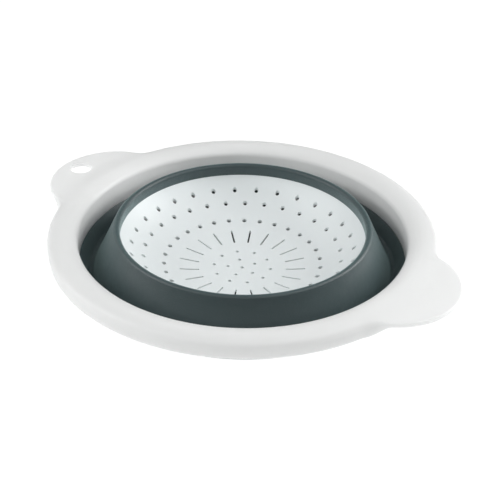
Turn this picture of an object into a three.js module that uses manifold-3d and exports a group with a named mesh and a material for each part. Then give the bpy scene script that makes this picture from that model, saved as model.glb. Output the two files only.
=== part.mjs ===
// Folding colander, shown folded flat: a stiff white rim with two ears, a soft grey wall that
// turns inside out, and a stiff white strainer base that hangs in the middle of it.
// Millimetres, +Z up. The origin is the centre of the foot circle, on the table.
// +X points at the plain ear, -X at the ear with the hanging hole.

import * as THREE from 'three';
import { mergeVertices } from 'three/addons/utils/BufferGeometryUtils.js';
import { ParametricGeometry } from 'three/addons/geometries/ParametricGeometry.js';
import Module from 'manifold-3d';

const wasm = await Module();
wasm.setup();

const radians = THREE.MathUtils.degToRad;
const degrees = THREE.MathUtils.radToDeg;
const smooth = (x) => THREE.MathUtils.smoothstep(x, 0, 1);
const mix = THREE.MathUtils.lerp;

// ---------------------------------------------------------------- driving dimensions

const gap = 0.3; // clearance between neighbouring mouldings

// strainer base: a shallow floor arc that runs into a tighter wall arc
const floorTop = 5; // inside of the floor at the centre
const floorArc = 260; // radius of the floor's curve
const wallStart = 42.6; // where the floor's curve becomes the wall's
const wallArc = 51; // radius of the wall's curve
const baseEdge = 76.2; // inside radius at the top edge
const baseThickness = 1.5;
const footRadius = 55.8; // middle of the foot ring
const footWidth = 2.2;
const footNotches = 6;
const notchWidth = 16;
const notchHeight = 3.4;

// drain holes, all pushed straight down through the base
const patternAngle = 134.6;
const holeSides = 8;
const drainRings = [
  { count: 1, radius: 0, diameter: 2.2, turn: 0 },
  { count: 5, radius: 9.0, diameter: 2.2, turn: 0 },
  { count: 10, radius: 17.9, diameter: 2.2, turn: 0 },
  { count: 30, radius: 49.3, diameter: 3, turn: 0 },
  { count: 30, radius: 62.0, diameter: 2.8, turn: 0 },
  { count: 30, radius: 69.6, diameter: 2.8, turn: 6 },
];
const slotCount = 20;
const slotInner = 27.4;
const slotOuter = 40;
const slotWidth = 1.2;

// soft wall: the bead on the base's edge, the folding web and the outer wall
const beadRadius = 2.15; // rounding of the bead's top
const beadTop = 37.5;
const collarThickness = 1; // the bead's skirt, bonded to the outside of the base
const collarDepth = 6;
const webSlope = radians(65); // the folded web, from the horizontal
const webThickness = 1.2;
const webRoot = 2.9; // length of web moulded solid with the bead
const outerSlope = radians(57.7);
const outerThickness = 1.5;
const valleyFillet = 2.5; // inside rounding of the lower fold

// rim: an upside-down channel, crowned on top
const rimInner = 101.5;
const rimBottom = 16;
const rimWallTop = 30;
const rimThickness = 2.4;
const innerRounding = 4;
const crownArc = 13.5;
const outerRounding = 4.6;
const crownRise = radians(38); // slope where the inner rounding meets the crown
const crownFall = radians(27); // slope where the crown meets the outer rounding
const skirtBottom = 24.3;
const skirtDraft = 0.6;
const bondHeight = 6; // the soft wall's flange behind the rim's inner wall
const bondThickness = 1.6;

// ears
const earRadius = 42;
const earTip = 144.4;
const earFillet = 18;
const earDrop = 1.5; // top of the ear below the crown
const earRamp = 13; // length over which the crown falls to the ear
const earEdgeRounding = 1.2;
const earEdgeHeight = 2.7;
const earBlend = 9; // reach beyond the rim at which the ear has its full shape
const hangRadius = 131.3;
const hangDiameter = 14;

const turnedSides = 60;
const rimSides = 100;

// ---------------------------------------------------------------- solids

/** Turns any closed geometry into a manifold solid with its faces outwards. */
function solid(geometry) {
  geometry.deleteAttribute('normal');
  geometry.deleteAttribute('uv');
  const merged = mergeVertices(geometry, 1e-4);
  const position = merged.attributes.position.array;
  const corners = merged.index.array;
  const faces = [];
  let volume = 0;
  for (let i = 0; i < corners.length; i += 3) {
    const [a, b, c] = corners.slice(i, i + 3);
    if (a === b || b === c || c === a) continue;
    faces.push([a, b, c]);
    const [p, q, r] = [a, b, c].map((k) => new THREE.Vector3().fromArray(position, 3 * k));
    volume += p.dot(q.cross(r));
  }
  const outward = volume > 0 ? faces : faces.map(([a, b, c]) => [a, c, b]);
  return new wasm.Manifold(new wasm.Mesh({
    numProp: 3,
    vertProperties: new Float32Array(position),
    triVerts: new Uint32Array(outward.flat()),
  }));
}

/** A solid of revolution about Z from a profile of [radius, height] points. */
function turned(profile) {
  const points = profile.map(([radius, height]) => new THREE.Vector2(radius, height));
  if (points[0].x > 0) points.push(points[0].clone());
  return solid(new THREE.LatheGeometry(points, turnedSides).rotateX(Math.PI / 2));
}

/** Points of an arc in the [radius, height] plane, angles in degrees from the outward direction. */
function arc([x, z], radius, from, to, steps) {
  return Array.from({ length: steps + 1 }, (_, i) => {
    const angle = radians(mix(from, to, i / steps));
    return [x + radius * Math.cos(angle), z + radius * Math.sin(angle)];
  });
}

/** A geometry moved along a radius and then turned about Z, for cuts placed around the axis. */
function around(geometry, radius, angle, height = 0) {
  return solid(geometry.translate(radius, 0, height).rotateZ(radians(angle)));
}

const cutAll = (body, tools) => tools.reduce((left, tool) => left.subtract(tool), body);

// ---------------------------------------------------------------- strainer base

const floorCentre = [0, floorTop + floorArc];
const turnIn = Math.asin(wallStart / floorArc);
const wallCentre = [
  wallStart - wallArc * Math.sin(turnIn),
  floorCentre[1] - (floorArc - wallArc) * Math.cos(turnIn),
];

/** Angle on an arc about wallCentre at which the base's wall reaches a radius. */
const wallAngleAt = (radius, arcRadius) => -degrees(Math.acos((radius - wallCentre[0]) / arcRadius));
const baseTopAngle = wallAngleAt(baseEdge, wallArc);
const baseTop = wallCentre[1] + wallArc * Math.sin(radians(baseTopAngle));
/** Angle on an arc about wallCentre at which it reaches a height. */
const wallAngleAtHeight = (height, arcRadius) => degrees(Math.asin((height - wallCentre[1]) / arcRadius));

function strainerBase() {
  const floorEnd = -90 + degrees(turnIn);
  const outside = wallArc + baseThickness;
  const footInside = footRadius - footWidth / 2;
  const footOutside = footRadius + footWidth / 2;
  const profile = [
    ...arc(floorCentre, floorArc, -90, floorEnd, 3).slice(0, -1),
    ...arc(wallCentre, wallArc, floorEnd, baseTopAngle, 6),
    ...arc(wallCentre, outside, wallAngleAtHeight(baseTop, outside), wallAngleAt(footOutside, outside), 3),
    [footOutside, 0],
    [footInside, 0],
    ...arc(wallCentre, outside, wallAngleAt(footInside, outside), floorEnd, 2).slice(0, -1),
    ...arc(floorCentre, floorArc + baseThickness, floorEnd, -90, 2),
  ];
  profile[0][0] = 0;
  profile[profile.length - 1][0] = 0;

  const through = 80; // longer than any wall that a drain pin goes through
  const drains = drainRings.flatMap(({ count, radius, diameter, turn }) =>
    Array.from({ length: count }, (_, i) => {
      const pin = new THREE.CylinderGeometry(diameter / 2, diameter / 2, through, holeSides);
      return around(pin.rotateX(Math.PI / 2), radius, patternAngle + turn + (360 / count) * i);
    }));
  const slots = Array.from({ length: slotCount }, (_, i) => {
    const blade = new THREE.BoxGeometry(slotOuter - slotInner, slotWidth, through);
    return around(blade, (slotOuter + slotInner) / 2, patternAngle + (360 / slotCount) * i);
  });
  const notches = Array.from({ length: footNotches }, (_, i) => {
    const block = new THREE.BoxGeometry(3 * footWidth, notchWidth, 2 * notchHeight);
    return around(block, footRadius, (360 / footNotches) * (i + 0.5));
  });
  return cutAll(turned(profile), [...drains, ...slots, ...notches]);
}

// ---------------------------------------------------------------- soft wall

const beadCentre = [baseEdge - 0.4 + beadRadius, beadTop - beadRadius];
const webDown = [Math.cos(webSlope), -Math.sin(webSlope)]; // along the web, outwards and down
const webUp = [Math.sin(webSlope), Math.cos(webSlope)]; // square to it, on the food side
const along = ([x, z], [dx, dz], distance) => [x + dx * distance, z + dz * distance];

const webStart = along(beadCentre, webUp, beadRadius);
const outerUp = [Math.cos(outerSlope), Math.sin(outerSlope)];
const outerOut = [Math.sin(outerSlope), -Math.cos(outerSlope)];
const outerTop = [rimInner - 0.1, rimBottom - gap];

// the valley is where the web's line and the outer wall's line cross
const crossing = (webUp[0] * (outerTop[0] - webStart[0]) + webUp[1] * (outerTop[1] - webStart[1]))
  / (webUp[0] * outerUp[0] + webUp[1] * outerUp[1]);
const valley = along(outerTop, outerUp, -crossing);
const valleyHalf = (Math.PI - webSlope - outerSlope) / 2;
const valleyReach = valleyFillet / Math.tan(valleyHalf);
const webEnd = along(valley, webDown, -valleyReach);
const filletCentre = along(webEnd, webUp, valleyFillet);

/** The rounded bead on the base's edge, with the skirt that grips the outside of the base. */
function basketBead() {
  const skirtInside = wallArc + baseThickness + gap;
  const skirtOutside = skirtInside + collarThickness;
  const bottom = baseTop + gap;
  const root = along(webStart, webDown, webRoot);
  return turned([
    [baseEdge - 0.2, bottom],
    ...arc(beadCentre, beadRadius, 180, 90 - degrees(webSlope), 7),
    root,
    along(root, webUp, -webThickness),
    ...arc(wallCentre, skirtOutside, wallAngleAtHeight(bottom, skirtOutside),
      wallAngleAtHeight(bottom - collarDepth, skirtOutside), 2),
    ...arc(wallCentre, skirtInside, wallAngleAtHeight(bottom - collarDepth, skirtInside),
      wallAngleAtHeight(bottom, skirtInside), 2),
  ]);
}

/** The web between the two living hinges, a plain cone while the colander is folded. */
function foldingWeb() {
  const top = along(webStart, webDown, webRoot + gap);
  const bottom = along(webEnd, webDown, -gap);
  const under = (point) => along(point, webUp, -webThickness);
  const middle = [(top[0] + bottom[0]) / 2, (top[1] + bottom[1]) / 2];
  return turned([top, middle, bottom, under(bottom), under(middle), under(top)]);
}

/** The outer wall, from the valley up to the flange bonded behind the rim's inner wall. */
function outerWall() {
  const valleyOutside = valleyFillet + outerThickness;
  const flangeInside = rimInner + rimThickness + gap;
  const flangeOutside = flangeInside + bondThickness;
  const shoulder = along(along(outerTop, outerUp, -2), outerOut, outerThickness);
  return turned([
    ...arc(filletCentre, valleyFillet, -180 + (90 - degrees(webSlope)), -90 + degrees(outerSlope), 4),
    outerTop,
    [flangeInside, outerTop[1]],
    [flangeInside, outerTop[1] + bondHeight],
    [flangeOutside, outerTop[1] + bondHeight],
    [flangeOutside, shoulder[1]],
    shoulder,
    ...arc(filletCentre, valleyOutside, -90 + degrees(outerSlope), -180 + (90 - degrees(webSlope)), 4),
  ]);
}

// ---------------------------------------------------------------- rim

const riseStart = [rimInner + 0.1, rimWallTop];
const crownRadius = riseStart[0] + innerRounding * (1 - Math.sin(crownRise)) + crownArc * Math.sin(crownRise);
const crownTop = rimWallTop + innerRounding * Math.cos(crownRise) + crownArc * (1 - Math.cos(crownRise));
const skirtStart = crownRadius + crownArc * Math.sin(crownFall);
const rimOuter = skirtStart + outerRounding * (1 - Math.sin(crownFall));
const earCentre = earTip - earRadius;

// the fillet between ear and rim, tangent to both circles
const filletReach = rimOuter + earFillet;
const filletAlong = (filletReach ** 2 + earCentre ** 2 - (earRadius + earFillet) ** 2) / (2 * earCentre);
const filletAngle = Math.acos(filletAlong / filletReach);
const earSide = Math.sqrt(filletReach ** 2 - filletAlong ** 2);
const earTangent = Math.atan2(
  (earSide * earRadius) / (earRadius + earFillet),
  earCentre + ((filletAlong - earCentre) * earRadius) / (earRadius + earFillet),
);

/** Radius of the rim's outline at an angle from +X. Both ears have the same outline. */
function outline(angle) {
  const fromEar = Math.abs(Math.asin(Math.sin(angle)));
  if (fromEar > filletAngle) return rimOuter;
  if (fromEar > earTangent) {
    const off = filletAngle - fromEar;
    return filletReach * Math.cos(off) - Math.sqrt(earFillet ** 2 - (filletReach * Math.sin(off)) ** 2);
  }
  return earCentre * Math.cos(fromEar) + Math.sqrt(earRadius ** 2 - (earCentre * Math.sin(fromEar)) ** 2);
}

/**
 * One point of the rim's skin outside the crown, s from 0 on the crown to 1 at the lower edge.
 * depth is 0 on the outside and rimThickness inside the channel. Away from the ears the skin
 * rounds over into a skirt, at an ear it runs out flat, and in between it is a mixture.
 */
function skin(s, angle, depth) {
  const reach = outline(angle);
  const fall = Math.min(s / 0.4, 1);
  const roll = THREE.MathUtils.clamp((s - 0.4) / 0.3, 0, 1);
  const drop = Math.max((s - 0.7) / 0.3, 0);

  const crownTurn = crownFall * fall;
  const rollTurn = mix(crownFall, Math.PI / 2, roll);
  const tight = outerRounding - depth;
  let plainR = crownRadius + (crownArc - depth) * Math.sin(crownTurn);
  let plainZ = crownTop - depth - (crownArc - depth) * (1 - Math.cos(crownTurn));
  plainR += tight * (Math.sin(rollTurn) - Math.sin(crownFall));
  plainZ -= tight * (Math.cos(crownFall) - Math.cos(rollTurn));
  plainZ = mix(plainZ, skirtBottom, drop);
  plainR += (reach - rimOuter) * fall - skirtDraft * drop;

  const inset = depth > 0 ? depth : earEdgeRounding;
  const edgeTurn = depth > 0 ? Math.PI / 2 : (Math.PI / 2) * roll;
  const flatR = mix(crownRadius, reach - inset, fall);
  const flatZ = crownTop - depth - earDrop * smooth((flatR - crownRadius) / earRamp);
  const earBottom = crownTop - earDrop - earEdgeHeight;
  const earR = flatR + (depth > 0 ? 0 : earEdgeRounding * Math.sin(edgeTurn));
  const earZ = mix(depth > 0 ? flatZ : flatZ - earEdgeRounding * (1 - Math.cos(edgeTurn)), earBottom, drop);

  const ear = smooth((reach - rimOuter) / earBlend);
  return [mix(plainR, earR, ear), mix(plainZ, earZ, ear)];
}

/** The closed section of the rim at an angle, as a list of [radius, height]. */
function rimSection(angle) {
  const stations = [0.1, 0.2, 0.4, 0.5, 0.6, 0.7, 1];
  const riseEnd = 90 + degrees(crownRise);
  const crownCentre = [crownRadius, crownTop - crownArc];
  const inner = arc([riseStart[0] + innerRounding, rimWallTop], innerRounding, 180, riseEnd, 2);
  const crown = arc(crownCentre, crownArc, riseEnd, 90, 2).slice(1);
  const under = arc(crownCentre, crownArc - rimThickness, 90, riseEnd, 2);
  return [
    [rimInner, rimBottom],
    ...inner,
    ...crown,
    ...stations.map((s) => skin(s, angle, 0)),
    ...stations.toReversed().map((s) => skin(s, angle, rimThickness)),
    ...under,
    [rimInner + rimThickness, rimWallTop],
    [rimInner + rimThickness, rimBottom],
  ];
}

function rimFrame() {
  const count = rimSection(0).length;
  const sections = new Map();
  const crowded = 0.3; // crowds the sections together at the ears
  const shell = new ParametricGeometry((u, v, target) => {
    const angle = 2 * Math.PI * u - crowded * Math.sin(4 * Math.PI * u);
    if (!sections.has(u)) sections.set(u, rimSection(angle));
    const [radius, height] = sections.get(u)[Math.round(v * count) % count];
    const turn = u === 1 ? 0 : angle;
    target.set(radius * Math.cos(turn), radius * Math.sin(turn), height);
  }, rimSides, count);
  const hole = new THREE.CylinderGeometry(hangDiameter / 2, hangDiameter / 2, 20, 24).rotateX(Math.PI / 2);
  return solid(shell).subtract(around(hole, hangRadius, 180, crownTop));
}

// ---------------------------------------------------------------- the colander

/** A named mesh with flat facets from a manifold solid. */
function part(name, body, color, roughness) {
  const { numProp, vertProperties, triVerts } = body.getMesh();
  const positions = new Float32Array(triVerts.length * 3);
  triVerts.forEach((vertex, i) => {
    positions.set(vertProperties.subarray(vertex * numProp, vertex * numProp + 3), 3 * i);
  });
  const geometry = new THREE.BufferGeometry();
  geometry.setAttribute('position', new THREE.BufferAttribute(positions, 3));
  geometry.computeVertexNormals();
  const mesh = new THREE.Mesh(geometry, new THREE.MeshStandardMaterial({ color, roughness, metalness: 0 }));
  mesh.name = name;
  return mesh;
}

const softGrey = 0x3b494b;
const colander = new THREE.Group();
colander.add(
  part('rim_frame', rimFrame(), 0xe8eae9, 0.45),
  part('outer_wall', outerWall(), softGrey, 0.6),
  part('folding_web', foldingWeb(), softGrey, 0.6),
  part('basket_bead', basketBead(), softGrey, 0.6),
  part('strainer_base', strainerBase(), 0xe9eeee, 0.35),
);

export default colander;
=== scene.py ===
from math import acos, asin, atan2, cos, degrees, pi, radians, sin, sqrt, tan

import bmesh
import bpy
import numpy as np
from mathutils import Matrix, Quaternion, Vector


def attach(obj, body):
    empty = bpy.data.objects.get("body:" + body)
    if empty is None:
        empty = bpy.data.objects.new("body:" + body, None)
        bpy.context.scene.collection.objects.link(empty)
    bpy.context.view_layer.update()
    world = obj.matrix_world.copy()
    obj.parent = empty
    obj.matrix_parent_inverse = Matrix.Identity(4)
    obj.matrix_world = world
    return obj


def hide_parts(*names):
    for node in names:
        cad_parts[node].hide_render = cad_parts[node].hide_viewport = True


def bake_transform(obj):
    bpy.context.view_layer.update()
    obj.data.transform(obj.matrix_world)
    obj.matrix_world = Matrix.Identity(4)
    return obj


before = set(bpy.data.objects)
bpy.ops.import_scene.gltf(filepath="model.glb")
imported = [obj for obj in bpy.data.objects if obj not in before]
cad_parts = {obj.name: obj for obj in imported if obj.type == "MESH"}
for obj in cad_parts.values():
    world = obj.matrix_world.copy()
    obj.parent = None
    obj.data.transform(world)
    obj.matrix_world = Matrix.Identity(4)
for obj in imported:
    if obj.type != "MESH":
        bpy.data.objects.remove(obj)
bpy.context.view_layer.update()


# ------------------------------------------------------------------ studio
# A glowing white table with a painted shadow under the colander, and eight softboxes round it,
# the two strongest low at the sides. The camera stands in front of the colander, turned 33.7
# degrees from square to its ears and looking down by nearly as much.

scene = bpy.context.scene
mm = 0.001


class Number:
    """A shader socket that takes part in Python arithmetic; each operation adds its Math node."""

    def __init__(self, shader, socket):
        self.shader = shader
        self.socket = socket

    def math(self, operation, first, second):
        inputs = {0: first, 1: second}
        return self.shader.node("ShaderNodeMath", {"operation": operation}, inputs).number()

    def __add__(self, other):
        return self.math("ADD", self, other)

    def __mul__(self, other):
        return self.math("MULTIPLY", self, other)

    def __sub__(self, other):
        return self.math("SUBTRACT", self, other)

    def __rsub__(self, other):
        return self.math("SUBTRACT", other, self)

    __radd__ = __add__
    __rmul__ = __mul__


class Made:
    """A node that has been added to a material, with its outputs by name or number."""

    def __init__(self, shader, node):
        self.shader = shader
        self.node = node

    def number(self, name=0):
        return Number(self.shader, self.node.outputs[name])


class Shader:
    """A material under construction."""

    def __init__(self, name):
        self.material = bpy.data.materials.new(name)
        self.material.use_nodes = True
        self.tree = self.material.node_tree
        self.surface = self.tree.nodes["Principled BSDF"]

    def connect(self, value, socket):
        if isinstance(value, Number):
            self.tree.links.new(value.socket, socket)
        else:
            socket.default_value = value

    def node(self, kind, settings=None, inputs=None):
        """Adds a node, sets its settings first and then its sockets to values or links."""
        node = self.tree.nodes.new(kind)
        for name, value in (settings or {}).items():
            setattr(node, name, value)
        for name, value in (inputs or {}).items():
            self.connect(value, node.inputs[name])
        return Made(self, node)

    def noise(self, where, scale, detail):
        """Noise from 0 to 1 at a place, with about scale features to the metre."""
        inputs = {"Vector": where, "Scale": scale, "Detail": detail}
        return self.node("ShaderNodeTexNoise", {}, inputs).number("Fac")

    def finish(self, **inputs):
        """Sets the surface's own sockets, named with underscores for spaces."""
        for name, value in inputs.items():
            self.connect(value, self.surface.inputs[name.replace("_", " ")])
        return self.material


view_turn = radians(33.7)
view_height = radians(33.27)
view_distance = 0.7328
view_roll = radians(0.99)
look_at = Vector((0, 0, 5.31 * mm))


def seen_from_camera(right, towards, up):
    """A point given by how far it is to the camera's right, towards the camera, and up."""
    side = Vector((cos(view_turn), sin(view_turn), 0))
    front = Vector((sin(view_turn), -cos(view_turn), 0))
    return look_at + side * right + front * towards + Vector((0, 0, up))


# where the table's painted shadow sits, and how far out it fades
shade_offset = 22 * mm
shade_inside = 77 * mm
shade_outside = 105 * mm


def white_table():
    """White acrylic that glows evenly, except in a round patch under the colander and a little
    behind it, fixed to the table, where the glow fades to the dark base colour: a painted shadow."""
    table = Shader("white_table")
    where = table.node("ShaderNodeTexCoord").number("Object")
    middle = seen_from_camera(0, -shade_offset, 0)
    middle.z = 0
    away = table.node("ShaderNodeVectorMath", {"operation": "DISTANCE"}, {0: where, 1: middle})
    # painted shadow: no glow inside shade_inside of the patch's middle, full glow beyond shade_outside
    glow_outside_painted_shadow = table.node("ShaderNodeMapRange", {"interpolation_type": "SMOOTHSTEP"},
                     {0: away.number("Value"), 1: shade_inside, 2: shade_outside, 3: 0.0, 4: 1.0}).number()
    return table.finish(
        # the near-black base colour is what shows inside the painted shadow
        Base_Color=(0.06, 0.06, 0.06, 1),
        Roughness=0.8,
        Emission_Color=table.node("ShaderNodeCombineColor", {}, {0: glow_outside_painted_shadow, 1: glow_outside_painted_shadow, 2: glow_outside_painted_shadow}).number(),
        Emission_Strength=1.0,
    )


table_reach = 30
corners = [(-table_reach, -table_reach, 0), (table_reach, -table_reach, 0),
           (table_reach, table_reach, 0), (-table_reach, table_reach, 0)]
table_mesh = bpy.data.meshes.new("table")
table_mesh.from_pydata(corners, [], [(0, 1, 2, 3)])
table_mesh.materials.append(white_table())
table = bpy.data.objects.new("table", table_mesh)
scene.collection.objects.link(table)


box_distance = 1.2


def softbox(name, turn, height, size, watts):
    """A softbox aimed at the colander, its turn in degrees rightwards from the camera's side."""
    turn, height = radians(turn), radians(height)
    level = box_distance * cos(height)
    place = seen_from_camera(level * sin(turn), level * cos(turn), box_distance * sin(height))
    lamp = bpy.data.lights.new(name, "AREA")
    lamp.shape = "RECTANGLE"
    lamp.size, lamp.size_y = size
    lamp.energy = watts
    box = bpy.data.objects.new(name, lamp)
    box.location = place
    box.rotation_mode = "QUATERNION"
    box.rotation_quaternion = (place - look_at).to_track_quat("Z", "Y")
    scene.collection.objects.link(box)


softbox("left_box", 270, 30, (0.6, 0.9), 6.5)
softbox("right_box", 110, 25, (0.4, 0.8), 9.6)
softbox("front_left_box", 310, 40, (0.8, 0.8), 1.9)
softbox("front_right_box", 50, 40, (0.8, 0.8), 2.1)
softbox("front_box", 0, 45, (0.8, 0.8), 2.3)
softbox("high_right_box", 90, 60, (0.7, 0.7), 3.2)
softbox("high_left_box", 270, 60, (0.7, 0.7), 1.0)
softbox("back_left_box", 220, 30, (0.6, 0.9), 1.1)

# the room gives almost no light of its own, and looks white beyond the table's edge
room = bpy.data.worlds.new("room")
room.use_nodes = True
faint = room.node_tree.nodes["Background"]
faint.inputs["Color"].default_value = (0.96, 0.98, 1, 1)
faint.inputs["Strength"].default_value = 0.02
white = room.node_tree.nodes.new("ShaderNodeBackground")
white.inputs["Color"].default_value = (1, 1, 1, 1)
seen = room.node_tree.nodes.new("ShaderNodeLightPath")
choice = room.node_tree.nodes.new("ShaderNodeMixShader")
room.node_tree.links.new(seen.outputs["Is Camera Ray"], choice.inputs[0])
room.node_tree.links.new(faint.outputs[0], choice.inputs[1])
room.node_tree.links.new(white.outputs[0], choice.inputs[2])
room.node_tree.links.new(choice.outputs[0], room.node_tree.nodes["World Output"].inputs["Surface"])
scene.world = room
scene.view_settings.view_transform = "Standard"

lens = bpy.data.cameras.new("camera")
lens.sensor_width = 36
lens.lens = 83.5
lens.shift_x = 0.0156
lens.shift_y = 0.034
camera = bpy.data.objects.new("camera", lens)
to_camera = (seen_from_camera(0, cos(view_height), sin(view_height)) - look_at).normalized()
camera.location = look_at + to_camera * view_distance
camera.rotation_mode = "QUATERNION"
aim = to_camera.to_track_quat("Z", "Y")
camera.rotation_quaternion = aim @ Quaternion((0, 0, 1), view_roll)
scene.collection.objects.link(camera)
scene.camera = camera


# ------------------------------------------------------------------ strainer base
# One moulding in white polypropylene: a shallow dished floor that curves up into its own wall,
# with a foot ring underneath. The drain holes and slots are cored straight down in the mould,
# so they are all vertical, and the foot ring is notched so that water runs out from under it.

def arc(centre, radius, start, end, steps):
    """Points along an arc in the (radius, height) plane; 0 degrees is outwards, 90 is up."""
    turns = np.radians(np.linspace(start, end, steps + 1))
    return [(centre[0] + radius * cos(t), centre[1] + radius * sin(t)) for t in turns]


def rounded(outline, steps=5):
    """A closed outline with each corner that states a third number rounded to that radius."""
    smooth = []
    for i, corner in enumerate(outline):
        if len(corner) == 2:
            smooth.append(corner)
            continue
        here = np.array(corner[:2])
        back = np.array(outline[i - 1][:2]) - here
        ahead = np.array(outline[(i + 1) % len(outline)][:2]) - here
        back_length, ahead_length = np.linalg.norm(back), np.linalg.norm(ahead)
        back, ahead = back / back_length, ahead / ahead_length
        half = acos(np.clip(back @ ahead, -1, 1)) / 2
        reach = min(corner[2] / tan(half), 0.45 * back_length, 0.45 * ahead_length)
        radius = reach * tan(half)
        middle = here + (back + ahead) / np.linalg.norm(back + ahead) * (radius / sin(half))
        first, last = here + back * reach - middle, here + ahead * reach - middle
        turn = atan2(first[0] * last[1] - first[1] * last[0], first @ last)
        for k in range(steps + 1):
            c, s = cos(turn * k / steps), sin(turn * k / steps)
            smooth.append((middle[0] + c * first[0] - s * first[1],
                           middle[1] + s * first[0] + c * first[1]))
    return smooth


def ring_mesh(name, sections, turns):
    """A closed mesh through a section at each turn about Z; sections are in millimetres."""
    rings = np.array(sections, float) * mm
    around, along = rings.shape[:2]
    turns = np.array(turns)[:, None]
    radius, height = rings[..., 0], rings[..., 1]
    points = np.stack([radius * np.cos(turns), radius * np.sin(turns), height], -1)
    here = np.arange(around * along).reshape(around, along)
    beside = np.roll(here, -1, 0)
    faces = np.stack([here, np.roll(here, -1, 1), np.roll(beside, -1, 1), beside], -1).reshape(-1, 4)
    mesh = bpy.data.meshes.new(name)
    mesh.from_pydata(points.reshape(-1, 3).tolist(), [], faces.tolist())
    return mesh


def mesh_tools(mesh, work):
    """Runs a bmesh job on a mesh."""
    edit = bmesh.new()
    edit.from_mesh(mesh)
    work(bmesh.ops, edit)
    edit.to_mesh(mesh)
    edit.free()


def close_up(mesh):
    """Merges doubled points and turns every face outwards."""
    def work(ops, edit):
        ops.remove_doubles(edit, verts=edit.verts, dist=1e-7)
        ops.dissolve_degenerate(edit, dist=1e-8, edges=edit.edges)
        ops.recalc_face_normals(edit, faces=edit.faces)
    mesh_tools(mesh, work)


def smooth_shaded(mesh, sharp=35):
    """Smooth shading with sharp edges where faces turn by more than the given degrees."""
    mesh.shade_smooth()
    mesh.set_sharp_from_angle(angle=radians(sharp))


turned_sides = 288


def turned(name, outline, sides=turned_sides):
    """A solid of revolution about Z from a closed outline in millimetres."""
    turns = np.arange(sides) * (2 * pi / sides)
    mesh = ring_mesh(name, [outline] * sides, turns)
    close_up(mesh)
    smooth_shaded(mesh)
    return mesh


def place(name, mesh, material):
    """Puts a finished mesh in the scene at the origin, all in one material."""
    mesh.materials.clear()
    mesh.materials.append(material)
    piece = bpy.data.objects.new(name, mesh)
    scene.collection.objects.link(piece)
    return piece


def white_plastic(name, colour, gloss, grain, glow):
    """Injection moulded polypropylene: faint flow clouds, a fine spark finish and light scuffs.
    Light goes a few millimetres into it, and glow is how much of its brightness comes from that."""
    shade = Shader(name)
    where = shade.node("ShaderNodeTexCoord").number("Object")
    clouds = shade.noise(where, 22.0, 3.0)
    peel = shade.noise(where, 420.0, 2.0)
    spark = shade.noise(where, 2600.0, 2.0)
    stretched = shade.node("ShaderNodeMapping", {}, {"Vector": where, "Scale": (900.0, 70.0, 300.0)})
    scuffs = shade.noise(stretched.number(), 1.0, 4.0)
    worn = shade.node("ShaderNodeMapRange", {}, {0: scuffs, 1: 0.62, 2: 0.72, 3: 0.0, 4: 1.0}).number()
    light = (*colour, 1)
    deep = (*[c * 0.955 for c in colour], 1)
    tone = shade.node("ShaderNodeMix", {"data_type": "RGBA"}, {0: clouds, 6: deep, 7: light}).number(2)
    relief = peel * 0.6 + spark * grain
    bump = shade.node("ShaderNodeBump", {}, {"Height": relief, "Strength": 0.4, "Distance": 0.0002})
    return shade.finish(
        Base_Color=tone,
        Roughness=gloss + clouds * 0.08 + worn * 0.05,
        Normal=bump.number(),
        Subsurface_Weight=glow,
        Subsurface_Radius=(0.008, 0.008, 0.008),
        Subsurface_Scale=1.0,
        IOR=1.49,
    )


floor_top = 5
floor_arc = 260
wall_start = 42.6
wall_arc = 51
base_edge = 76.2
base_thickness = 1.5
foot_radius = 55.8
foot_width = 2.2
foot_root = 0.2  # how much the foot ring widens towards its root, on each side
foot_notches = 6
notch_width = 16
notch_height = 3.4

floor_turn = degrees(asin(wall_start / floor_arc))
floor_centre = (0, floor_top + floor_arc)
wall_centre = (wall_start - wall_arc * sin(radians(floor_turn)),
               floor_centre[1] - (floor_arc - wall_arc) * cos(radians(floor_turn)))


def angle_at_radius(radius, around):
    """Angle on an arc about the wall's centre at which it reaches a radius."""
    return -degrees(acos((radius - wall_centre[0]) / around))


def angle_at_height(height, around):
    """Angle on an arc about the wall's centre at which it reaches a height."""
    return degrees(asin((height - wall_centre[1]) / around))


edge_turn = angle_at_radius(base_edge, wall_arc)
base_top = wall_centre[1] + wall_arc * sin(radians(edge_turn))
outside = wall_arc + base_thickness
foot_in, foot_out = foot_radius - foot_width / 2, foot_radius + foot_width / 2
low_turn = -90 + floor_turn
outer_edge = arc(wall_centre, outside, angle_at_height(base_top, outside),
                 angle_at_radius(foot_out + 1, outside), 22)
base_outline = rounded([
    *arc(floor_centre, floor_arc, -90, low_turn, 12)[:-1],
    *arc(wall_centre, wall_arc, low_turn, edge_turn, 40)[:-1],
    (base_edge, base_top, 0.3),
    (*outer_edge[0], 0.3),
    *outer_edge[1:],
    (foot_out + foot_root, outer_edge[-1][1] - 1.4, 0.8),
    (foot_out, 0, 0.5),
    (foot_in, 0, 0.5),
    (foot_in - foot_root, outer_edge[-1][1] - 2.2, 0.8),
    *arc(wall_centre, outside, angle_at_radius(foot_in - 1.2, outside), low_turn, 16)[:-1],
    *arc(floor_centre, floor_arc + base_thickness, low_turn, -90, 12),
])


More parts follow.
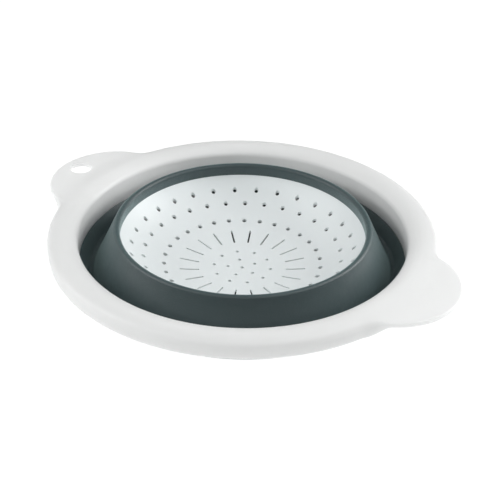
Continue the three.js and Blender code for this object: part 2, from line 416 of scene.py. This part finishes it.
def ring_of_cuts():
    """Node group that cuts a ring of upright round or long holes out of a solid."""
    group = bpy.data.node_groups.new("ring_of_cuts", "GeometryNodeTree")
    face = group.interface
    face.new_socket("Solid", in_out="INPUT", socket_type="NodeSocketGeometry")
    for name, kind in (("Count", "Int"), ("Ring Radius", "Float"), ("Turn", "Float"), ("Width", "Float"),
                       ("Length", "Float"), ("Low", "Float"), ("High", "Float"), ("Sides", "Int"),
                       ("Material", "Material")):
        face.new_socket(name, in_out="INPUT", socket_type=f"NodeSocket{kind}")
    face.new_socket("Solid", in_out="OUTPUT", socket_type="NodeSocketGeometry")
    given = group.nodes.new("NodeGroupInput").outputs

    def add(kind, settings, inputs, output=0):
        node = group.nodes.new(kind)
        for key, value in settings.items():
            setattr(node, key, value)
        for key, value in inputs.items():
            if isinstance(value, bpy.types.NodeSocket):
                group.links.new(value, node.inputs[key])
            else:
                node.inputs[key].default_value = value
        return node.outputs[output]

    def sum_of(operation, first, second):
        return add("ShaderNodeMath", {"operation": operation}, {0: first, 1: second})

    number = add("GeometryNodeInputIndex", {}, {})
    step = sum_of("DIVIDE", 2 * pi, given["Count"])
    turn = sum_of("ADD", sum_of("MULTIPLY", number, step), given["Turn"])
    x = sum_of("MULTIPLY", add("ShaderNodeMath", {"operation": "COSINE"}, {0: turn}), given["Ring Radius"])
    y = sum_of("MULTIPLY", add("ShaderNodeMath", {"operation": "SINE"}, {0: turn}), given["Ring Radius"])
    spot = add("ShaderNodeCombineXYZ", {}, {0: x, 1: y})
    spots = add("GeometryNodePoints", {}, {"Count": given["Count"], "Position": spot})
    radius = sum_of("MULTIPLY", given["Width"], 0.5)
    height = sum_of("SUBTRACT", given["High"], given["Low"])
    pin = add("GeometryNodeMeshCylinder", {},
              {"Vertices": given["Sides"], "Radius": radius, "Depth": height})
    at = add("ShaderNodeSeparateXYZ", {}, {0: add("GeometryNodeInputPosition", {}, {})})
    side = add("ShaderNodeMath", {"operation": "SIGN"}, {0: at})
    stretch = sum_of("MULTIPLY", sum_of("MULTIPLY", given["Length"], 0.5), side)
    middle = sum_of("MULTIPLY", sum_of("ADD", given["High"], given["Low"]), 0.5)
    shift = add("ShaderNodeCombineXYZ", {}, {0: stretch, 2: middle})
    pin = add("GeometryNodeSetPosition", {}, {"Geometry": pin, "Offset": shift})
    facing = add("ShaderNodeCombineXYZ", {}, {2: turn})
    pins = add("GeometryNodeInstanceOnPoints", {}, {"Points": spots, "Instance": pin, "Rotation": facing})
    pins = add("GeometryNodeRealizeInstances", {}, {"Geometry": pins})
    cut = add("GeometryNodeMeshBoolean", {"operation": "DIFFERENCE", "solver": "EXACT"},
              {"Mesh 1": given["Solid"], "Mesh 2": pins})
    whole = add("GeometryNodeRealizeInstances", {}, {"Geometry": cut})
    named = add("GeometryNodeSetMaterial", {}, {"Geometry": whole, "Material": given["Material"]})
    out = group.nodes.new("NodeGroupOutput")
    group.links.new(named, out.inputs["Solid"])
    return group


def cut_ring(piece, group, **sizes):
    """Adds the node group to a piece as a modifier, its inputs set by socket identifier."""
    modifier = piece.modifiers.new("cuts", "NODES")
    for item in group.interface.items_tree:
        key = item.name.replace(" ", "_").lower()
        if item.in_out == "INPUT" and key in sizes:
            modifier[item.identifier] = sizes[key]
    modifier.node_group = group


def baked(piece):
    """The piece's mesh with its modifiers applied, which are then removed."""
    shaped = piece.evaluated_get(bpy.context.evaluated_depsgraph_get())
    mesh = bpy.data.meshes.new_from_object(shaped)
    mesh.name = piece.name
    piece.modifiers.clear()
    piece.data = mesh
    return mesh


base_white = white_plastic("base_white", (0.82, 0.865, 0.87), 0.4, 0.3, 0.05)
strainer = place("strainer_base_fine", turned("strainer_base_fine", base_outline), base_white)
cuts = ring_of_cuts()
through = {"low": -10 * mm, "high": 60 * mm}  # past both faces of the base everywhere
pattern_turn = radians(134.6)
drain_rings = [  # holes in the ring, its radius, the hole's width, and the ring's own turn
    (1, 0, 2.2, 0),
    (5, 9.0, 2.2, 0),
    (10, 17.9, 2.2, 0),
    (30, 49.3, 3, 0),
    (30, 62.0, 2.8, 0),
    (30, 69.6, 2.8, 6),
]
for count, ring, width, own_turn in drain_rings:
    cut_ring(strainer, cuts, count=count, ring_radius=ring * mm, width=width * mm, length=0.0,
             turn=pattern_turn + radians(own_turn), sides=28, material=base_white, **through)
slot_in, slot_out, slot_width = 27.4, 40, 1.2
cut_ring(strainer, cuts, count=20, ring_radius=(slot_in + slot_out) / 2 * mm, width=slot_width * mm,
         length=(slot_out - slot_in - slot_width) * mm, turn=pattern_turn, sides=16,
         material=base_white, **through)
cut_ring(strainer, cuts, count=foot_notches, ring_radius=foot_radius * mm, width=notch_width * mm,
         length=0.0, turn=pi / foot_notches, low=-4 * mm, high=notch_height * mm, sides=48,
         material=base_white)
smooth_shaded(baked(strainer), 30)
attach(strainer, "basket")
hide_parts("strainer_base")


# ------------------------------------------------------------------ basket bead
# The inner edge of the grey rubber moulding: a plump bead that sits on the base's top edge, with
# a thin skirt bonded to the outside of the base. The folding web springs from its outer side.

def grey_rubber(name, place_name=None):
    """Thermoplastic rubber: matt and dense, with a fine tooth, a soft bloom and faint handling marks."""
    shade = Shader(name)
    if place_name:
        where = shade.node("ShaderNodeAttribute", {"attribute_name": place_name}).number("Vector")
    else:
        where = shade.node("ShaderNodeTexCoord").number("Object")
    bloom = shade.noise(where, 26.0, 4.0)
    tooth = shade.noise(where, 3200.0, 2.0)
    peel = shade.noise(where, 300.0, 2.0)
    marks = shade.noise(where, 90.0, 6.0)
    handled = shade.node("ShaderNodeMapRange", {}, {0: marks, 1: 0.5, 2: 0.75, 3: 0.0, 4: 1.0}).number()
    tone = shade.node("ShaderNodeMix", {"data_type": "RGBA"},
                      {0: bloom, 6: (0.018, 0.036, 0.040, 1), 7: (0.026, 0.047, 0.051, 1)}).number(2)
    relief = tooth * 0.5 + peel * 0.5
    bump = shade.node("ShaderNodeBump", {}, {"Height": relief, "Strength": 0.8, "Distance": 0.0003})
    return shade.finish(
        Base_Color=tone,
        Roughness=0.38 + bloom * 0.1 - handled * 0.04,
        Normal=bump.number(),
        Sheen_Weight=0.45,
        Sheen_Roughness=0.5,
        Sheen_Tint=(0.75, 1, 1, 1),
        IOR=1.6,
    )


bead_round = 2.15
bead_top = 37.5
web_slope = 65
web_thickness = 1.2
bead_overhang = 0.4  # past the base's edge, on the food side
skirt_thickness = 1.2
skirt_depth = 6
hairline = 0.05  # joint line between the rubber and the white plastic

bead_centre = (base_edge - bead_overhang + bead_round, bead_top - bead_round)
skirt_in = wall_arc + base_thickness + hairline
skirt_out = skirt_in + skirt_thickness
skirt_foot = base_top - skirt_depth
bead_foot = base_top + 0.02
bead_outline = rounded([
    (base_edge - 0.2, bead_foot, 0.15),
    *arc(bead_centre, bead_round, 180, -12, 40),
    *arc(wall_centre, skirt_out, angle_at_height(bead_foot + 1, skirt_out),
         angle_at_height(skirt_foot + 0.5, skirt_out), 10),
    (*arc(wall_centre, skirt_out, angle_at_height(skirt_foot, skirt_out), 0, 1)[0], 0.4),
    (*arc(wall_centre, skirt_in, angle_at_height(skirt_foot, skirt_in), 0, 1)[0], 0.3),
    *arc(wall_centre, skirt_in, angle_at_height(skirt_foot + 0.7, skirt_in),
         angle_at_height(bead_foot, skirt_in), 10),
])
rubber = grey_rubber("grey_rubber")
bead = place("basket_bead_fine", turned("basket_bead_fine", bead_outline), rubber)
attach(bead, "basket")
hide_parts("basket_bead")


# ------------------------------------------------------------------ outer wall
# The outer part of the same rubber moulding: it rises from the valley fold to the rim, where a
# flange is bonded behind the rim's inner wall.

rim_inner = 101.5
rim_bottom = 16
rim_thickness = 2.4
outer_slope = 57.7
outer_thickness = 1.5
valley_fillet = 2.5
flange_height = 6
flange_thickness = 1.8
wall_step = 0.1  # how far the rubber stands inside the rim's inner wall
flange_gap = 0.1  # between the back of the rim's inner wall and the flange
shoulder_drop = 2  # down the slope from the top to where the outside turns in to the flange
wrap = 12  # degrees that the fold goes on round the foot of the web


def along(point, direction, distance):
    """The point a distance away, in a direction in degrees in the (radius, height) plane."""
    turn = radians(direction)
    return (point[0] + distance * cos(turn), point[1] + distance * sin(turn))


web_start = along(bead_centre, 90 - web_slope, bead_round)
wall_top = (rim_inner - wall_step, rim_bottom - hairline)
square = (cos(radians(90 - web_slope)), sin(radians(90 - web_slope)))
rise = (cos(radians(outer_slope)), sin(radians(outer_slope)))
to_valley = ((square[0] * (wall_top[0] - web_start[0]) + square[1] * (wall_top[1] - web_start[1]))
             / (square[0] * rise[0] + square[1] * rise[1]))
valley = along(wall_top, outer_slope, -to_valley)
valley_half = radians(180 - web_slope - outer_slope) / 2
web_end = along(valley, -web_slope, -valley_fillet / tan(valley_half))
fillet_centre = along(web_end, 90 - web_slope, valley_fillet)

flange_in = rim_inner + rim_thickness + flange_gap
flange_out = flange_in + flange_thickness
shoulder = along(along(wall_top, outer_slope, -shoulder_drop), outer_slope - 90, outer_thickness)
web_side = -90 - web_slope
wall_side = outer_slope - 90
outer_outline = rounded([
    *arc(fillet_centre, valley_fillet, web_side - wrap, wall_side, 14),
    (*wall_top, 0.1),
    (flange_in, wall_top[1]),
    (flange_in, wall_top[1] + flange_height, 0.3),
    (flange_out, wall_top[1] + flange_height, 0.5),
    (flange_out, shoulder[1], 0.5),
    (*shoulder, 1.2),
    *arc(fillet_centre, valley_fillet + outer_thickness, wall_side, web_side - wrap, 18),
])
outer = place("outer_wall_fine", turned("outer_wall_fine", outer_outline), rubber)
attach(outer, "rim")
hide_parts("outer_wall")


# ------------------------------------------------------------------ folding web
# The thin band of the rubber moulding between the ridge and the valley. It is a cone that points
# up while the colander is folded flat, and on the real colander it turns inside out when the rim
# is lifted; here it is built folded flat only. Its two ends are buried in the bead and in the
# outer wall.

tuck = 0.03
buried = 50  # degrees of the valley's fold that the web's end follows
web_under = valley_fillet + web_thickness
stretch = np.linspace(0.02, 0.98, 60)[:, None]
web_down = np.array(web_start) * (1 - stretch) + np.array(web_end) * stretch
web_up = web_down[::-1]
web_outline = [
    *arc(bead_centre, bead_round - tuck, 60, 90 - web_slope, 8),
    *web_down,
    *arc(fillet_centre, valley_fillet + tuck, web_side, web_side + buried, 10),
    *arc(fillet_centre, web_under, web_side + buried, web_side, 10),
    *[along(point, 270 - web_slope, web_thickness) for point in web_up],
    *arc(bead_centre, bead_round - web_thickness, 90 - web_slope, 60, 6),
]
web_mesh = turned("folding_web_fine", web_outline)
at_rest = web_mesh.attributes.new("at_rest", "FLOAT_VECTOR", "POINT")
spots = np.empty(len(web_mesh.vertices) * 3, np.float32)
web_mesh.vertices.foreach_get("co", spots)
at_rest.data.foreach_set("vector", spots)
web = place("folding_web_fine", web_mesh, grey_rubber("grey_rubber_web", "at_rest"))
web_start[1] * mm
web_end[1] * mm
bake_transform(web)
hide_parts("folding_web")


# ------------------------------------------------------------------ rim frame
# One moulding in white polypropylene: an upside-down channel with a crowned top, an inner wall
# that the rubber is bonded behind, an outer skirt, and two ears that run out of the crown. The
# skirt fades into each ear's thin edge. One ear has a round hole to hang the colander up by.

rim_wall_top = 30
wall_lean = 0.1  # the inner wall's draft, outwards at the top
inner_rounding = 4
crown_arc = 13.5
outer_rounding = 4.6
crown_rise = radians(38)
crown_fall = radians(27)
skirt_bottom = 24.3
skirt_draft = 0.6
ear_radius = 42
ear_tip = 144.4
ear_fillet = 18
ear_drop = 1.5
ear_ramp = 13
ear_rounding = 1.2
ear_edge = 2.7
ear_blend = 9
hang_radius = 131.3
hang_width = 14

rise_centre = (rim_inner + wall_lean + inner_rounding, rim_wall_top)
crown_radius = rise_centre[0] + (crown_arc - inner_rounding) * sin(crown_rise)
crown_top = rim_wall_top + inner_rounding * cos(crown_rise) + crown_arc * (1 - cos(crown_rise))
rim_outer = crown_radius + crown_arc * sin(crown_fall) + outer_rounding * (1 - sin(crown_fall))
ear_centre = ear_tip - ear_radius
fillet_reach = rim_outer + ear_fillet
fillet_along = (fillet_reach**2 + ear_centre**2 - (ear_radius + ear_fillet)**2) / (2 * ear_centre)
fillet_turn = acos(fillet_along / fillet_reach)
fillet_side = sqrt(fillet_reach**2 - fillet_along**2)
share = ear_radius / (ear_radius + ear_fillet)
ear_tangent = atan2(fillet_side * share, ear_centre + (fillet_along - ear_centre) * share)


def smoothstep(x):
    x = min(max(x, 0), 1)
    return x * x * (3 - 2 * x)


def mix(a, b, t):
    return a + (b - a) * t


def outline_radius(turn):
    """How far the rim's outline is from the axis at a turn from +X."""
    off_ear = abs(asin(sin(turn)))
    if off_ear > fillet_turn:
        return rim_outer
    if off_ear > ear_tangent:
        off = fillet_turn - off_ear
        return fillet_reach * cos(off) - sqrt(ear_fillet**2 - (fillet_reach * sin(off))**2)
    return ear_centre * cos(off_ear) + sqrt(ear_radius**2 - (ear_centre * sin(off_ear))**2)


def skin(s, reach, depth):
    """A point of the skin outside the crown, s from 0 on the crown to 1 at the lower edge.
    Away from the ears it rounds over into a skirt; at an ear it runs out flat."""
    fall = min(s / 0.4, 1)
    roll = min(max((s - 0.4) / 0.3, 0), 1)
    drop = max((s - 0.7) / 0.3, 0)
    turn = mix(crown_fall, pi / 2, roll)
    tight = outer_rounding - depth
    plain_r = crown_radius + (crown_arc - depth) * sin(crown_fall * fall)
    plain_r += tight * (sin(turn) - sin(crown_fall))
    plain_z = crown_top - depth - (crown_arc - depth) * (1 - cos(crown_fall * fall))
    plain_z = mix(plain_z - tight * (cos(crown_fall) - cos(turn)), skirt_bottom, drop)
    plain_r += (reach - rim_outer) * fall - skirt_draft * drop

    edge = depth if depth else ear_rounding
    flat_r = mix(crown_radius, reach - edge, fall)
    flat_z = crown_top - depth - ear_drop * smoothstep((flat_r - crown_radius) / ear_ramp)
    if not depth:
        flat_r += ear_rounding * sin(roll * pi / 2)
        flat_z -= ear_rounding * (1 - cos(roll * pi / 2))
    flat_z = mix(flat_z, crown_top - ear_drop - ear_edge, drop)
    ear = smoothstep((reach - rim_outer) / ear_blend)
    return (mix(plain_r, flat_r, ear), mix(plain_z, flat_z, ear))


def rim_section(turn):
    """The rim's closed section at a turn about Z."""
    reach = outline_radius(turn)
    rise_turn = 90 + degrees(crown_rise)
    crown_centre = (crown_radius, crown_top - crown_arc)
    stations = [*np.linspace(0.03, 0.4, 16), *np.linspace(0.43, 0.7, 10)]
    return rounded([
        (rim_inner, rim_bottom, 0.3),
        *arc(rise_centre, inner_rounding, 180, rise_turn, 12),
        *arc(crown_centre, crown_arc, rise_turn, 90, 14)[1:],
        *[skin(s, reach, 0) for s in stations],
        (*skin(1, reach, 0), 0.6),
        (*skin(1, reach, rim_thickness), 0.6),
        *[skin(s, reach, rim_thickness) for s in reversed(stations)],
        *arc(crown_centre, crown_arc - rim_thickness, 90, rise_turn, 10),
        (rim_inner + rim_thickness, rim_wall_top),
        (rim_inner + rim_thickness, rim_bottom, 0.5),
    ])


rim_sides = 480
even = np.arange(rim_sides) * (2 * pi / rim_sides)
turns = even - 0.3 * np.sin(2 * even)  # closer together at the ears
rim_mesh = ring_mesh("rim_frame_fine", [rim_section(t) for t in turns], turns)
close_up(rim_mesh)
rim_white = white_plastic("rim_white", (0.77, 0.78, 0.775), 0.36, 0.7, 0.9)
rim = place("rim_frame_fine", rim_mesh, rim_white)
cut_ring(rim, cuts, count=1, ring_radius=hang_radius * mm, width=hang_width * mm, length=0.0,
         turn=pi, low=20 * mm, high=50 * mm, sides=96, material=rim_white)
smooth_shaded(baked(rim), 40)
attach(rim, "rim")
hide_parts("rim_frame")
